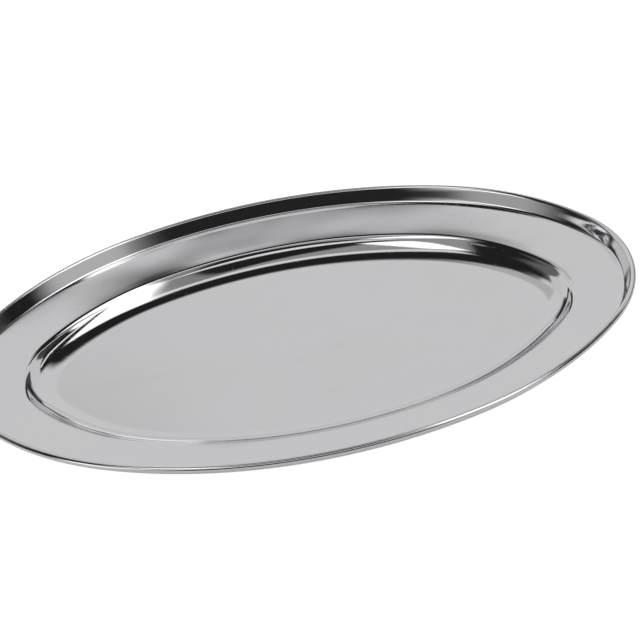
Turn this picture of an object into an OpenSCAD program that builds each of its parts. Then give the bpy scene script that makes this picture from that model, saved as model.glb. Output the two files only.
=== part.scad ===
// Oval serving tray, pressed from one sheet of stainless steel and rolled over at its edge.
// The origin is under the middle of the tray, on the surface it stands on. X runs along its length, Z is up.

/* [Outline] */
// Overall length over the rolled rim
tray_l = 457.2; // [455.2:0.4:459.2]
// Radius of the four shoulder arcs, between the round ends and the long sides
shoulder_r = 207; // [203:1:209]
// Radius of the two side arcs; the overall width follows from the two radii
side_r = 330; // [325:1:332]
// Overall height from the table to the top of the rolled rim
tray_h = 25.4; // [24:0.2:30]

/* [Sheet] */
// Thickness of the sheet steel
sheet_t = 0.7; // [0.5:0.1:0.9]

/* [Well] */
// Depth of the well below its edge at the flange
well_depth = 9.5; // [8.5:0.1:10.5]
// Slope of the well wall at its steepest, from level
wall_slope = 47; // [44:1:52]
// Length of the straight, steepest stretch of the wall
wall_flat = 0.4; // [0.2:0.1:0.8]
// Bend radius of the wall's foot, where it runs out into the floor
foot_r = 33; // [28:1:38]
// Slope at which the foot bend gives way to the tighter bend above it
foot_slope = 23; // [18:1:28]
// Bend radius where the well wall turns over into the flange
edge_r = 6.7; // [5:0.1:8]

/* [Flange and rim] */
// Width of the flange between its two corners, seen from above
flange_w = 34.9; // [32:0.1:38]
// Slope of the flange, from level
flange_slope = 8.5; // [6:0.5:11]
// Slope of the rim step, from level
step_slope = 67; // [62:1:74]
// Bend radius where the flange turns up into the rim step
step_r = 2.5; // [2:0.1:3]
// Outer diameter of the rolled rim
roll_d = 4.3; // [4:0.1:4.8]
// How far round the sheet is rolled, from where it leaves the rim step
roll_turn = 315; // [270:5:320]

/* [Hidden] */
$fn = 120;
steel = [0.78, 0.79, 0.80];

// Directions from an arc's centre in which the outline's arcs meet. They are exact right triangles
// (4-3-5 and 44-117-125), so that neighbouring arcs share their joint plane to the last digit.
end_dir = [0.8, 0.6];
side_dir = [0.352, 0.936];

// The end radius that closes the outline on the long axis, and the centres of a quarter's arcs.
end_r = (tray_l / 2 - shoulder_r * (end_dir.x - side_dir.x) - side_r * side_dir.x) / (1 - end_dir.x);
end_c = [tray_l / 2 - end_r, 0];
shoulder_c = end_c + (end_r - shoulder_r) * end_dir;
side_c = [0, (shoulder_c + (shoulder_r - side_r) * side_dir).y];
function flip_x(v) = [-v.x, v.y];
function flip_y(v) = [v.x, -v.y];

// The section lies on the middle of the sheet. Its x is 0 at the tray's outermost edge and negative inwards.
function along(slope) = [cos(slope), sin(slope)];
function across(slope) = [-sin(slope), cos(slope)];

roll_r = (roll_d - sheet_t) / 2;
roll_c = [-roll_d / 2, tray_h - roll_d / 2];
roll_start = roll_c + roll_r * across(step_slope);
edge_z = sheet_t / 2 + well_depth;
step_z = edge_z + flange_w * tan(flange_slope);
step_corner = [roll_start.x - (roll_start.y - step_z) / tan(step_slope), step_z];
edge_corner = [step_corner.x - flange_w, edge_z];

// The wall below its edge bend, from the top down: the straight stretch, a bend whose radius takes up the
// depth that is left, and the foot bend.
edge_start = edge_corner - edge_r * tan((wall_slope - flange_slope) / 2) * along(wall_slope);
wall_foot = edge_start - wall_flat * along(wall_slope);
wall_r = (wall_foot.y - sheet_t / 2 - foot_r * (1 - cos(foot_slope))) / (cos(foot_slope) - cos(wall_slope));
wall_c = wall_foot + wall_r * across(wall_slope);
foot_c = wall_c + (foot_r - wall_r) * across(foot_slope);

// A bend that takes the sheet from slope s0 to slope s1 round a corner, in steps of at most bend_step.
bend_step = 8;
function bend(corner, r, s0, s1) = let (
    side = sign(s1 - s0),
    start = corner - r * tan(abs(s1 - s0) / 2) * along(s0),
    centre = start + side * r * across(s0))
    arc(centre, side * r, s0, s1);
// Points round an arc, each with the sheet's slope there: [point, slope]. A negative radius turns downwards.
function arc(centre, r, s0, s1) = let (n = ceil(abs(s1 - s0) / bend_step))
    [for (i = [0:n]) let (s = s0 + (s1 - s0) * i / n) [centre - r * across(s), s]];

foot_bend = arc(foot_c, foot_r, 0, foot_slope);
wall_bend = arc(wall_c, wall_r, foot_slope, wall_slope);
edge_bend = bend(edge_corner, edge_r, wall_slope, flange_slope);
step_bend = bend(step_corner, step_r, flange_slope, step_slope);
roll_bend = arc(roll_c, -roll_r, step_slope, step_slope - roll_turn);
function first(path) = path[0];
function last(path) = path[len(path) - 1];
function rest(path) = [for (i = [1:len(path) - 1]) path[i]];

// The section of a band of sheet that follows a path of [point, slope] pairs.
module sheet(path) {
    upper = [for (p = path) p[0] + sheet_t / 2 * across(p[1])];
    lower = [for (p = path) p[0] - sheet_t / 2 * across(p[1])];
    polygon(concat(upper, [for (i = [len(lower) - 1:-1:0]) lower[i]]));
}

// Turns a section about one arc's centre, between the directions from and to.
module sector(centre, radius, from, to) {
    reach = 1.5 * radius;
    translate([centre.x, centre.y, 0]) intersection() {
        rotate_extrude() translate([radius, 0]) children();
        translate([0, 0, -1]) linear_extrude(tray_h + 2) polygon([[0, 0], reach * from, reach * to]);
    }
}

// Carries a section all the way round the outline.
module round_the_outline() {
    for (turn = [0, 180]) rotate([0, 0, turn]) {
        sector(end_c, end_r, flip_y(end_dir), end_dir) children();
        sector(shoulder_c, shoulder_r, end_dir, side_dir) children();
        sector(side_c, side_r, side_dir, flip_x(side_dir)) children();
        sector(flip_x(shoulder_c), shoulder_r, flip_x(side_dir), flip_x(end_dir)) children();
    }
}

// Flat middle of the tray: a ring with the outline's true curve, filled by a flat core inside it.
module well_floor() {
    edge_x = first(foot_bend)[0].x;
    ring_w = 25;
    core_in = 1;
    quarter = [
        end_c + (end_r + edge_x - core_in) * end_dir,
        side_c + (side_r + edge_x - core_in) * side_dir
    ];
    half = concat(quarter, [for (i = [1:-1:0]) flip_x(quarter[i])]);
    color(steel) union() {
        round_the_outline() translate([edge_x - ring_w, 0]) square([ring_w, sheet_t]);
        linear_extrude(sheet_t) polygon(concat(half, -half));
    }
}

// Sloping wall of the well, with the wide bends at its foot and the smaller one at its edge.
module well_wall() {
    color(steel) round_the_outline() sheet(concat(foot_bend, rest(wall_bend), edge_bend));
}

// Wide, gently rising band around the well.
module flange() {
    color(steel) round_the_outline() sheet([last(edge_bend), first(step_bend)]);
}

// Short, steep step from the flange up to the rolled rim.
module rim_step() {
    color(steel) round_the_outline() sheet(concat(step_bend, [first(roll_bend)]));
}

// The sheet's edge, rolled outwards and under into a hollow bead.
module rolled_rim() {
    color(steel) round_the_outline() sheet(roll_bend);
}

well_floor();
well_wall();
flange();
rim_step();
rolled_rim();
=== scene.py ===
"""Oval serving tray of polished stainless steel, pressed from one sheet and rolled over at its edge."""

import math

import bpy
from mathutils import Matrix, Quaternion, Vector


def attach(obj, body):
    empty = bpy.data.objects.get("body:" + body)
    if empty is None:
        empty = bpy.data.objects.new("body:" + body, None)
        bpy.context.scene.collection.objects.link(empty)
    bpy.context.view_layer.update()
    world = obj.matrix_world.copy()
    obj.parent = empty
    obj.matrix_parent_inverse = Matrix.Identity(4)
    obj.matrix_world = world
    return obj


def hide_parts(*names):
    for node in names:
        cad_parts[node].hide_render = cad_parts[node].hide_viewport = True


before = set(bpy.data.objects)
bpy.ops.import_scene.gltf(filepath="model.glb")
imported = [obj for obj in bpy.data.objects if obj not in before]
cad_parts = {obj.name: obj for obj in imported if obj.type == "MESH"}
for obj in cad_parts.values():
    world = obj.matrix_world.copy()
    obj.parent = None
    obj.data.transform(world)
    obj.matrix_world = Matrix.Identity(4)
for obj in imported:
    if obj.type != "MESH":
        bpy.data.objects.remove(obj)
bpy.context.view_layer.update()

MM = 0.001

# Outline of the tray: arcs of three radii, which meet in these directions from their centres.
TRAY_L = 457.2 * MM
SHOULDER_R = 207 * MM
SIDE_R = 330 * MM
END_DIR = Vector((0.8, 0.6))
SIDE_DIR = Vector((0.352, 0.936))
END_R = (TRAY_L / 2 - SHOULDER_R * (END_DIR.x - SIDE_DIR.x) - SIDE_R * SIDE_DIR.x) / (1 - END_DIR.x)
END_C = Vector((TRAY_L / 2 - END_R, 0))
SHOULDER_C = END_C + (END_R - SHOULDER_R) * END_DIR
SIDE_C = SHOULDER_C + (SHOULDER_R - SIDE_R) * SIDE_DIR

# Section of the sheet, as in the frame.
SHEET_T = 0.7 * MM
TRAY_H = 25.4 * MM
WELL_DEPTH = 9.5 * MM
WALL_SLOPE = math.radians(47)
WALL_FLAT = 0.4 * MM
FOOT_R = 33 * MM
FOOT_SLOPE = math.radians(23)
EDGE_R = 6.7 * MM
FLANGE_W = 34.9 * MM
FLANGE_SLOPE = math.radians(8.5)
STEP_SLOPE = math.radians(67)
STEP_R = 2.5 * MM
ROLL_D = 4.3 * MM
ROLL_TURN = math.radians(315)

# Fineness of the mesh: the turn of each facet along the outline, round the bends and round the roll.
OUTLINE_STEP = math.radians(1.3)
BEND_STEP = math.radians(2.5)
ROLL_STEP = math.radians(10)
RUN_STEP = 3 * MM
TOUCHING = SHEET_T / 100
SMOOTH_UP_TO = math.radians(40)

# Faint waves that the press leaves in the flange.
WAVE_LENGTH = 75 * MM
WAVE_HEIGHT = 0.9 * MM


# ---------------------------------------------------------------- small helpers

def along(slope):
    """Direction of the sheet in its section where it has this slope: x outwards, z up."""
    return Vector((math.cos(slope), 0, math.sin(slope)))


def across(slope):
    """Direction square to the sheet in its section, on its upper side."""
    return Vector((-math.sin(slope), 0, math.cos(slope)))


def on_bend(centre, radius, slope):
    """Point of a bend where the sheet has this slope. A negative radius turns downwards."""
    return centre - radius * across(slope)


def deselect_all():
    bpy.ops.object.select_all(action="DESELECT")


def apply_modifiers(piece):
    deselect_all()
    piece.select_set(True)
    bpy.context.view_layer.objects.active = piece
    for modifier in list(piece.modifiers):
        bpy.ops.object.modifier_apply(modifier=modifier.name)


# ---------------------------------------------------------------- camera

CAMERA_AZIMUTH = math.radians(4.47)
CAMERA_ELEVATION = math.radians(35.4)
CAMERA_ROLL = math.radians(-12.03)
CAMERA_DISTANCE = 1.412
CAMERA_LENS = 116.8
CAMERA_AIM = Vector((0.0161, 0.0244, SHEET_T))


def set_camera():
    """Stands the camera in front of the tray and above it, turned a little about its own axis."""
    a, e = CAMERA_AZIMUTH, CAMERA_ELEVATION
    back = Vector((math.sin(a) * math.cos(e), -math.cos(a) * math.cos(e), math.sin(e)))
    bpy.ops.object.camera_add(location=CAMERA_AIM + back * CAMERA_DISTANCE)
    camera = bpy.context.object
    camera.name = "studio_camera"
    camera.data.lens = CAMERA_LENS
    camera.rotation_mode = "QUATERNION"
    camera.rotation_quaternion = (-back).to_track_quat("-Z", "Y") @ Quaternion((0, 0, 1), CAMERA_ROLL)
    camera.data.clip_start, camera.data.clip_end = 0.05, 50
    bpy.context.scene.camera = camera


# ---------------------------------------------------------------- pressed sheet

def section_bends():
    """Bends of the sheet's middle line, from the well out: centre, radius, and slopes before and after.

    They are the wide bend at the wall's foot, the wall's own bend, the edge bend into the flange, the bend
    into the rim step, and the roll.
    """
    roll_r = (ROLL_D - SHEET_T) / 2
    roll_c = Vector((TRAY_L / 2 - ROLL_D / 2, 0, TRAY_H - ROLL_D / 2))
    roll_start = on_bend(roll_c, -roll_r, STEP_SLOPE)
    edge_z = SHEET_T / 2 + WELL_DEPTH
    step_z = edge_z + FLANGE_W * math.tan(FLANGE_SLOPE)
    step_x = roll_start.x - (roll_start.z - step_z) / math.tan(STEP_SLOPE)
    step_reach = STEP_R * math.tan((STEP_SLOPE - FLANGE_SLOPE) / 2)
    step_start = Vector((step_x, 0, step_z)) - step_reach * along(FLANGE_SLOPE)
    edge_corner = Vector((step_x - FLANGE_W, 0, edge_z))
    edge_start = edge_corner - EDGE_R * math.tan((WALL_SLOPE - FLANGE_SLOPE) / 2) * along(WALL_SLOPE)
    wall_foot = edge_start - WALL_FLAT * along(WALL_SLOPE)
    depth_left = wall_foot.z - SHEET_T / 2 - FOOT_R * (1 - math.cos(FOOT_SLOPE))
    wall_r = depth_left / (math.cos(FOOT_SLOPE) - math.cos(WALL_SLOPE))
    wall_c = wall_foot + wall_r * across(WALL_SLOPE)
    foot_c = wall_c + (FOOT_R - wall_r) * across(FOOT_SLOPE)
    return [
        (foot_c, FOOT_R, 0, FOOT_SLOPE),
        (wall_c, wall_r, FOOT_SLOPE, WALL_SLOPE),
        (edge_start - EDGE_R * across(WALL_SLOPE), -EDGE_R, WALL_SLOPE, FLANGE_SLOPE),
        (step_start + STEP_R * across(FLANGE_SLOPE), STEP_R, FLANGE_SLOPE, STEP_SLOPE),
        (roll_c, -roll_r, STEP_SLOPE, STEP_SLOPE - ROLL_TURN),
    ]


def run_to(point, here):
    """Draws the section on by a straight run of sheet."""
    bpy.ops.mesh.extrude_region_move(TRANSFORM_OT_translate={"value": point - here})
    return point


def draw_section():
    """Draws the sheet's middle line on the long axis, from the well's flat out to the rolled edge."""
    bends = section_bends()
    centre, radius, before, after = bends[0]
    here = on_bend(centre, radius, before)
    bpy.ops.mesh.primitive_plane_add(size=SHEET_T, location=here)
    piece = bpy.context.object
    bpy.ops.object.mode_set(mode="EDIT")
    bpy.ops.mesh.select_all(action="SELECT")
    bpy.ops.mesh.merge(type="CENTER")
    for centre, radius, before, after in bends:
        start = on_bend(centre, radius, before)
        if (start - here).length > TOUCHING:
            steps = max(1, round((start - here).length / RUN_STEP))
            for i in range(steps):
                here = run_to(here + (start - here) / (steps - i), here)
        step = ROLL_STEP if abs(radius) < ROLL_D else BEND_STEP
        steps = math.ceil(abs(after - before) / step)
        bpy.ops.mesh.spin(steps=steps, angle=after - before, center=centre, axis=(0, 1, 0))
        here = on_bend(centre, radius, after)
    bpy.ops.mesh.select_all(action="SELECT")
    return piece


def carry_round():
    """Turns the selected section about each arc of the outline in turn, all the way round."""
    end_turn = math.atan2(END_DIR.y, END_DIR.x)
    side_turn = math.atan2(SIDE_DIR.y, SIDE_DIR.x)
    shoulder = side_turn - end_turn
    side = math.pi - 2 * side_turn
    arcs = [
        (END_C.x, 0, end_turn),
        (SHOULDER_C.x, SHOULDER_C.y, shoulder),
        (0, SIDE_C.y, side),
        (-SHOULDER_C.x, SHOULDER_C.y, shoulder),
        (-END_C.x, 0, 2 * end_turn),
        (-SHOULDER_C.x, -SHOULDER_C.y, shoulder),
        (0, -SIDE_C.y, side),
        (SHOULDER_C.x, -SHOULDER_C.y, shoulder),
        (END_C.x, 0, end_turn),
    ]
    for x, y, angle in arcs:
        steps = math.ceil(angle / OUTLINE_STEP)
        bpy.ops.mesh.spin(steps=steps, angle=-angle, center=(x, y, 0), axis=(0, 0, 1))


def wave_flange(piece):
    """Raises and lowers the flange a little in faint waves that die out at its two corners."""
    edge, step = section_bends()[2:4]
    low = on_bend(edge[0], edge[1], FLANGE_SLOPE).z
    high = on_bend(step[0], step[1], FLANGE_SLOPE).z
    group = piece.vertex_groups.new(name="flange")
    for vertex in piece.data.vertices:
        up = (vertex.co.z - low) / (high - low)
        if 0 < up < 1:
            group.add([vertex.index], math.sin(math.pi * up) ** 0.5, "REPLACE")
    clouds = bpy.data.textures.new("press_waves", "CLOUDS")
    clouds.noise_scale = WAVE_LENGTH
    clouds.noise_depth = 1
    waves = piece.modifiers.new("waves", "DISPLACE")
    waves.texture = clouds
    waves.texture_coords = "LOCAL"
    waves.direction = "Z"
    waves.strength = WAVE_HEIGHT
    waves.vertex_group = group.name
    apply_modifiers(piece)


def select_well_opening(piece):
    """Selects the open edges at the level of the well's flat."""
    faces_on = {}
    for poly in piece.data.polygons:
        for key in poly.edge_keys:
            faces_on[key] = faces_on.get(key, 0) + 1
    points = piece.data.vertices
    flat_z = SHEET_T / 2 + TOUCHING
    for edge in piece.data.edges:
        highest = max(points[end].co.z for end in edge.vertices)
        edge.select = faces_on[edge.key] == 1 and highest < flat_z


def pressed_sheet():
    """The whole tray: one sheet, pressed into a well, a flange and a rim, with its edge rolled under."""
    deselect_all()
    piece = draw_section()
    carry_round()
    bpy.ops.mesh.select_all(action="SELECT")
    bpy.ops.mesh.remove_doubles(threshold=2 * TOUCHING)
    bpy.ops.mesh.select_all(action="DESELECT")
    bpy.ops.object.mode_set(mode="OBJECT")
    select_well_opening(piece)
    bpy.ops.object.mode_set(mode="EDIT")
    bpy.ops.mesh.select_mode(type="EDGE")
    bpy.ops.mesh.edge_face_add()
    bpy.ops.mesh.inset(thickness=SHEET_T)
    bpy.ops.mesh.select_all(action="SELECT")
    bpy.ops.mesh.normals_make_consistent(inside=False)
    bpy.ops.object.mode_set(mode="OBJECT")
    piece.name = piece.data.name = "pressed_sheet"
    bpy.ops.object.transform_apply(location=True, rotation=True, scale=True)
    wave_flange(piece)
    thick = piece.modifiers.new("sheet", "SOLIDIFY")
    thick.thickness = SHEET_T
    thick.offset = 0
    thick.use_even_offset = True
    apply_modifiers(piece)
    bpy.ops.object.shade_smooth_by_angle(angle=SMOOTH_UP_TO)
    return piece


# ---------------------------------------------------------------- node helpers

def node(tree, kind, **settings):
    """Adds a node to a tree and sets its properties."""
    made = tree.nodes.new(kind)
    for name, value in settings.items():
        setattr(made, name, value)
    return made


def feed(tree, socket, value):
    """Links an output to a socket, or sets the socket to a constant."""
    if isinstance(value, bpy.types.NodeSocket):
        tree.links.new(value, socket)
    else:
        socket.default_value = value


def calc(tree, operation, *values):
    """The result of one sum on one to three values."""
    made = node(tree, "ShaderNodeMath", operation=operation)
    for socket, value in zip(made.inputs, values):
        feed(tree, socket, value)
    return made.outputs[0]


def smooth_step(tree, value, start, end):
    """0 before start, 1 after end, and a smooth rise between them."""
    made = node(tree, "ShaderNodeMapRange", interpolation_type="SMOOTHSTEP")
    for name, given in zip(("Value", "From Min", "From Max"), (value, start, end)):
        feed(tree, made.inputs[name], given)
    return made.outputs["Result"]


def window(tree, value, low, high, soft):
    """1 between low and high, falling softly to 0 outside them."""
    rise = smooth_step(tree, value, low - soft / 2, low + soft / 2)
    passed = smooth_step(tree, value, high - soft / 2, high + soft / 2)
    return calc(tree, "MULTIPLY", rise, calc(tree, "SUBTRACT", 1.0, passed))


def over(tree, below, mask, value, name=""):
    """Lays one value over another where the mask is 1."""
    made = node(tree, "ShaderNodeMix", data_type="FLOAT", label=name)
    feed(tree, made.inputs[0], mask)
    feed(tree, made.inputs[2], below)
    feed(tree, made.inputs[3], value)
    return made.outputs[0]


# ---------------------------------------------------------------- steel

# The two tints that the steel drifts between.
STEEL_COOL = (0.755, 0.755, 0.785, 1)
STEEL_WARM = (0.79, 0.785, 0.79, 1)
# How much rougher the steel is in a scratch and where it is rubbed, and how deep a scratch is.
SCRATCH_ROUGHNESS = 0.1
RUB_ROUGHNESS = 0.07
SCRATCH_DEPTH = 0.02 * MM
# Hairline scratches: their length, width and height in mm, and the turn of the lines in degrees.
HAIRLINES = [((60, 0.8, 3), 12), ((45, 0.6, 2.4), -28), ((55, 0.7, 2.8), 71), ((38, 0.6, 2), 128)]
# Grain in mm of the patches that hold the scratches, of the haze and of the wiped streaks.
PATCH_GRAIN = (45, 45, 45)
HAZE_GRAIN = (75, 60, 65)
STREAK_GRAIN = (140, 17, 33)
# Where in its noise each of them starts to show, and where it shows in full.
HAIRLINE_SHOWS = (0.68, 0.78)
PATCH_SHOWS = (0.4, 0.62)
HAZE_SHOWS = (0.35, 0.75)
STREAK_SHOWS = (0.5, 0.8)


def group_sockets(tree, inputs, outputs):
    """Gives a node group its named sockets: each input with its kind and its first value."""
    for name, (kind, value) in inputs.items():
        made = tree.interface.new_socket(name, in_out="INPUT", socket_type=kind)
        if value is not None:
            made.default_value = value
    for name, kind in outputs.items():
        tree.interface.new_socket(name, in_out="OUTPUT", socket_type=kind)
    return node(tree, "NodeGroupInput").outputs, node(tree, "NodeGroupOutput").inputs


def noise(tree, position, grain, turn, detail, distortion=0.0):
    """Noise from 0 to 1 whose grain has this length, width and height in mm, turned about Z."""
    mapping = node(tree, "ShaderNodeMapping", vector_type="TEXTURE")
    feed(tree, mapping.inputs["Vector"], position)
    mapping.inputs["Rotation"].default_value = (0, 0, math.radians(turn))
    mapping.inputs["Scale"].default_value = [size * MM for size in grain]
    made = node(tree, "ShaderNodeTexNoise")
    feed(tree, made.inputs["Vector"], mapping.outputs[0])
    made.inputs["Scale"].default_value = 1.0
    made.inputs["Detail"].default_value = detail
    made.inputs["Distortion"].default_value = distortion
    return made.outputs["Fac"]


def hairline_group():
    """Crossing hairline scratches from wiping and cutlery: a mask, and a height for the bump."""
    tree = bpy.data.node_groups.new("hairlines", "ShaderNodeTree")
    given, result = group_sockets(tree, {"Position": ("NodeSocketVector", None)},
                                  {"Mask": "NodeSocketFloat", "Height": "NodeSocketFloat"})
    total = 0.0
    for size, turn in HAIRLINES:
        grain = noise(tree, given["Position"], size, turn, detail=1.0, distortion=0.15)
        line = smooth_step(tree, grain, *HAIRLINE_SHOWS)
        patch = noise(tree, given["Position"], PATCH_GRAIN, turn, detail=1.0)
        shown = calc(tree, "MULTIPLY", line, smooth_step(tree, patch, *PATCH_SHOWS))
        total = calc(tree, "MAXIMUM", total, shown)
    feed(tree, result["Mask"], total)
    feed(tree, result["Height"], calc(tree, "MULTIPLY", total, -1.0))
    return tree


def handling_group():
    """Haze from washing, soft smudges and drying marks: a roughness and a tint."""
    tree = bpy.data.node_groups.new("handling", "ShaderNodeTree")
    given, result = group_sockets(
        tree,
        {"Position": ("NodeSocketVector", None), "Polish": ("NodeSocketFloat", 0.05),
         "Smudge": ("NodeSocketFloat", 0.03), "Scratched": ("NodeSocketFloat", 0.0),
         "Rubbed": ("NodeSocketFloat", 0.0)},
        {"Roughness": "NodeSocketFloat", "Tint": "NodeSocketColor"})
    cloud = noise(tree, given["Position"], HAZE_GRAIN, 30, detail=3.0, distortion=0.8)
    wipe = noise(tree, given["Position"], STREAK_GRAIN, 8, detail=2.0, distortion=0.4)
    haze = calc(tree, "MULTIPLY", smooth_step(tree, cloud, *HAZE_SHOWS), given["Smudge"])
    streak = calc(tree, "MULTIPLY", smooth_step(tree, wipe, *STREAK_SHOWS), given["Smudge"])
    rough = calc(tree, "ADD", given["Polish"], calc(tree, "ADD", haze, streak))
    rough = calc(tree, "ADD", rough, calc(tree, "MULTIPLY", given["Scratched"], SCRATCH_ROUGHNESS))
    rough = calc(tree, "ADD", rough, calc(tree, "MULTIPLY", given["Rubbed"], RUB_ROUGHNESS))
    feed(tree, result["Roughness"], rough)
    tint = node(tree, "ShaderNodeMix", data_type="RGBA")
    feed(tree, tint.inputs[0], cloud)
    feed(tree, tint.inputs[6], STEEL_COOL)
    feed(tree, tint.inputs[7], STEEL_WARM)
    feed(tree, result["Tint"], tint.outputs[2])
    return tree


def steel(name, groups, polish, smudge, scratches, rub_from, rub_to):
    """Stainless steel of one finish. Its wear grows from the height rub_from to the height rub_to."""
    hairlines, handling = groups
    material = bpy.data.materials.new(name)
    material.use_nodes = True
    tree = material.node_tree
    shader = tree.nodes["Principled BSDF"]
    shader.inputs["Metallic"].default_value = 1
    position = node(tree, "ShaderNodeTexCoord").outputs["Object"]
    split = node(tree, "ShaderNodeSeparateXYZ")
    feed(tree, split.inputs[0], position)
    rubbed = smooth_step(tree, split.outputs["Z"], rub_from, rub_to)
    lines = node(tree, "ShaderNodeGroup", node_tree=hairlines)
    feed(tree, lines.inputs["Position"], position)
    finish = node(tree, "ShaderNodeGroup", node_tree=handling)
    for socket, value in (("Position", position), ("Polish", polish), ("Smudge", smudge),
                          ("Scratched", lines.outputs["Mask"]), ("Rubbed", rubbed)):
        feed(tree, finish.inputs[socket], value)
    feed(tree, shader.inputs["Base Color"], finish.outputs["Tint"])
    feed(tree, shader.inputs["Roughness"], finish.outputs["Roughness"])
    bump = node(tree, "ShaderNodeBump")
    bump.inputs["Strength"].default_value = scratches
    bump.inputs["Distance"].default_value = SCRATCH_DEPTH
    feed(tree, bump.inputs["Height"], lines.outputs["Height"])
    feed(tree, shader.inputs["Normal"], bump.outputs[0])
    return material


def finish_tray(tray):
    """Gives the tray its finishes: bright wall, flange and rim, satin well, duller underside."""
    groups = hairline_group(), handling_group()
    bright, satin, dull = range(3)
    finishes = [
        steel("bright_steel", groups, polish=0.045, smudge=0.03, scratches=0.2,
              rub_from=TRAY_H - 1.2 * MM, rub_to=TRAY_H),
        steel("well_steel", groups, polish=0.07, smudge=0.07, scratches=0.5,
              rub_from=SHEET_T + 2 * MM, rub_to=SHEET_T - 1 * MM),
        steel("under_steel", groups, polish=0.16, smudge=0.05, scratches=0.3,
              rub_from=0.4 * MM, rub_to=0.0),
    ]
    for finish in finishes:
        tray.data.materials.append(finish)
    roll_bottom = TRAY_H - ROLL_D
    flat_top = SHEET_T + 0.02 * MM
    for poly in tray.data.polygons:
        faces_down = poly.normal.z < -0.02
        faces_up = poly.normal.z > 0.5
        if faces_down and poly.center.z < roll_bottom:
            poly.material_index = dull
        elif faces_up and poly.center.z < flat_top:
            poly.material_index = satin
        else:
            poly.material_index = bright


# ---------------------------------------------------------------- studio

FLOOR_SIZE = 8
# The floor's own light as the camera sees it, and as the steel and the shadows do.
FLOOR_GLOW = 0.8
FLOOR_GLOW_MIRRORED = 0.15
STUDIO_DARK = 0.016
ROOM_WHITE = 1.0

# Upright cards around the tray, the later over the earlier: azimuth of their two sides, clockwise from
# straight behind, elevation of their lower and upper edges, softness of the sides and of those edges, all
# in degrees, and brightness.
WALL_CARDS = [
    ("left_wall", (-84, -38), (8, 45), (12, 12), 0.14),
    ("back_wall", (-41, 32), (16, 50.6), (14, 9), 0.7),
    ("back_left_wall", (-59, -30), (16, 39.5), (4, 3), 0.65),
    ("back_left_foot", (-60, -31), (-2, 22), (4, 4), 0.69),
    ("back_foot", (-14, 9), (-2, 17), (4, 2), 0.67),
    ("back_glow", (-30, -12), (36, 55), (8, 3), 0.5),
    ("right_wall", (32, 97), (4, 40), (6, 10), 0.07),
    ("right_high_wall", (24, 67), (19, 40.5), (6, 3), 0.67),
    ("right_low_lamp", (99, 130), (40, 49), (4, 3), 1.5),
    ("front_left_lamp", (-152, -110), (14, 42), (8, 6), 1.4),
    ("front_left_wall", (-142, -104), (-2, 14), (20, 4), 0.4),
    ("front_right_wall", (116, 153), (-2, 40), (14, 6), 0.52),
    ("front_wall", (154, 220), (-2, 44), (26, 6), 0.02),
    ("table_end", (-180, 180), (-90, 2), (1, 3), 1.0),
    ("below_table", (-180, 180), (-91, -12), (1, 14), 0.22),
    ("below_lamp", (100, 200), (-62, -38), (30, 10), 0.75),
]

# Level cards over the tray, seen from it: their sides and ends on a plane one unit up, how far the sides
# lean per unit along them, the softness of their edges, and brightness.
ROOF_CARDS = [
    ("side_strip", (0.76, 0.86), (-0.25, 0.8), 0, 0.04, 1.0),
    ("front_band", (-0.62, 0.66), (-1.15, -0.65), 0, 0.05, 0.85),
    ("strip_lamp", (-0.4, 0.16), (0.08, 0.265), 0, 0.06, 0.8),
    ("left_halo", (-0.56, 0.03), (-0.72, 0.12), -0.8, 0.1, 0.32),
    ("left_lamp", (-0.5, -0.3), (-0.5, 0.06), 0, 0.04, 1.6),
    ("right_halo", (0.05, 0.3), (-0.62, 0.1), 0.35, 0.05, 0.26),
    ("right_lamp", (0.18, 0.6), (-0.75, 0.3), 0.35, 0.08, 1.7),
]


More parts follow.
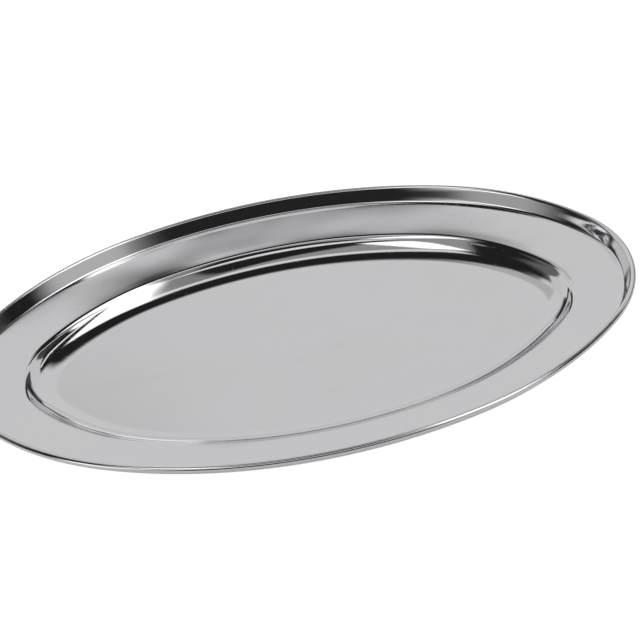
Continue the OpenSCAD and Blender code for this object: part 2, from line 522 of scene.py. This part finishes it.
def studio_floor():
    """A pale matt floor, whiter to the camera than in the steel's reflections."""
    deselect_all()
    bpy.ops.mesh.primitive_plane_add(size=FLOOR_SIZE, location=(0, 0, 0))
    floor = bpy.context.object
    floor.name = "studio_floor"
    material = bpy.data.materials.new("pale_floor")
    material.use_nodes = True
    shader = material.node_tree.nodes["Principled BSDF"]
    shader.inputs["Base Color"].default_value = (0.9, 0.9, 0.9, 1)
    shader.inputs["Roughness"].default_value = 0.8
    shader.inputs["Specular IOR Level"].default_value = 0
    shader.inputs["Emission Color"].default_value = (1, 1, 1, 1)
    seen = node(material.node_tree, "ShaderNodeLightPath").outputs["Is Camera Ray"]
    glow = over(material.node_tree, FLOOR_GLOW_MIRRORED, seen, FLOOR_GLOW)
    feed(material.node_tree, shader.inputs["Emission Strength"], glow)
    floor.data.materials.append(material)


def studio_world():
    """The studio around the tray, as brightness by direction."""
    world = bpy.data.worlds.new("studio")
    world.use_nodes = True
    tree = world.node_tree
    direction = node(tree, "ShaderNodeTexCoord").outputs["Generated"]
    split = node(tree, "ShaderNodeSeparateXYZ")
    feed(tree, split.inputs[0], direction)
    x, y, z = split.outputs
    elevation = calc(tree, "MULTIPLY", calc(tree, "ARCSINE", z), math.degrees(1))
    azimuth = calc(tree, "MULTIPLY", calc(tree, "ARCTAN2", x, y), math.degrees(1))
    light = STUDIO_DARK
    for name, sides, edges, soft, brightness in WALL_CARDS:
        middle = sum(sides) / 2
        turned = calc(tree, "WRAP", calc(tree, "SUBTRACT", azimuth, middle), 180.0, -180.0)
        beside = window(tree, turned, sides[0] - middle, sides[1] - middle, soft[0])
        upright = window(tree, elevation, *edges, soft[1])
        light = over(tree, light, calc(tree, "MULTIPLY", beside, upright), brightness, name)
    height = calc(tree, "MAXIMUM", z, 0.02)
    across_roof = calc(tree, "DIVIDE", x, height)
    along_roof = calc(tree, "DIVIDE", y, height)
    for name, sides, edges, skew, soft, brightness in ROOF_CARDS:
        skewed = calc(tree, "ADD", across_roof, calc(tree, "MULTIPLY", along_roof, skew))
        beside = window(tree, skewed, *sides, soft)
        between = window(tree, along_roof, *edges, soft)
        light = over(tree, light, calc(tree, "MULTIPLY", beside, between), brightness, name)
    seen = node(tree, "ShaderNodeLightPath").outputs["Is Camera Ray"]
    light = over(tree, light, seen, ROOM_WHITE, "room")
    back = tree.nodes["Background"]
    feed(tree, back.inputs["Color"], light)
    bpy.context.scene.world = world


set_camera()
bpy.context.scene.view_settings.view_transform = "Standard"
studio_floor()
studio_world()
tray = pressed_sheet()
finish_tray(tray)
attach(tray, "root")
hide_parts("well_floor", "well_wall", "flange", "rim_step", "rolled_rim")
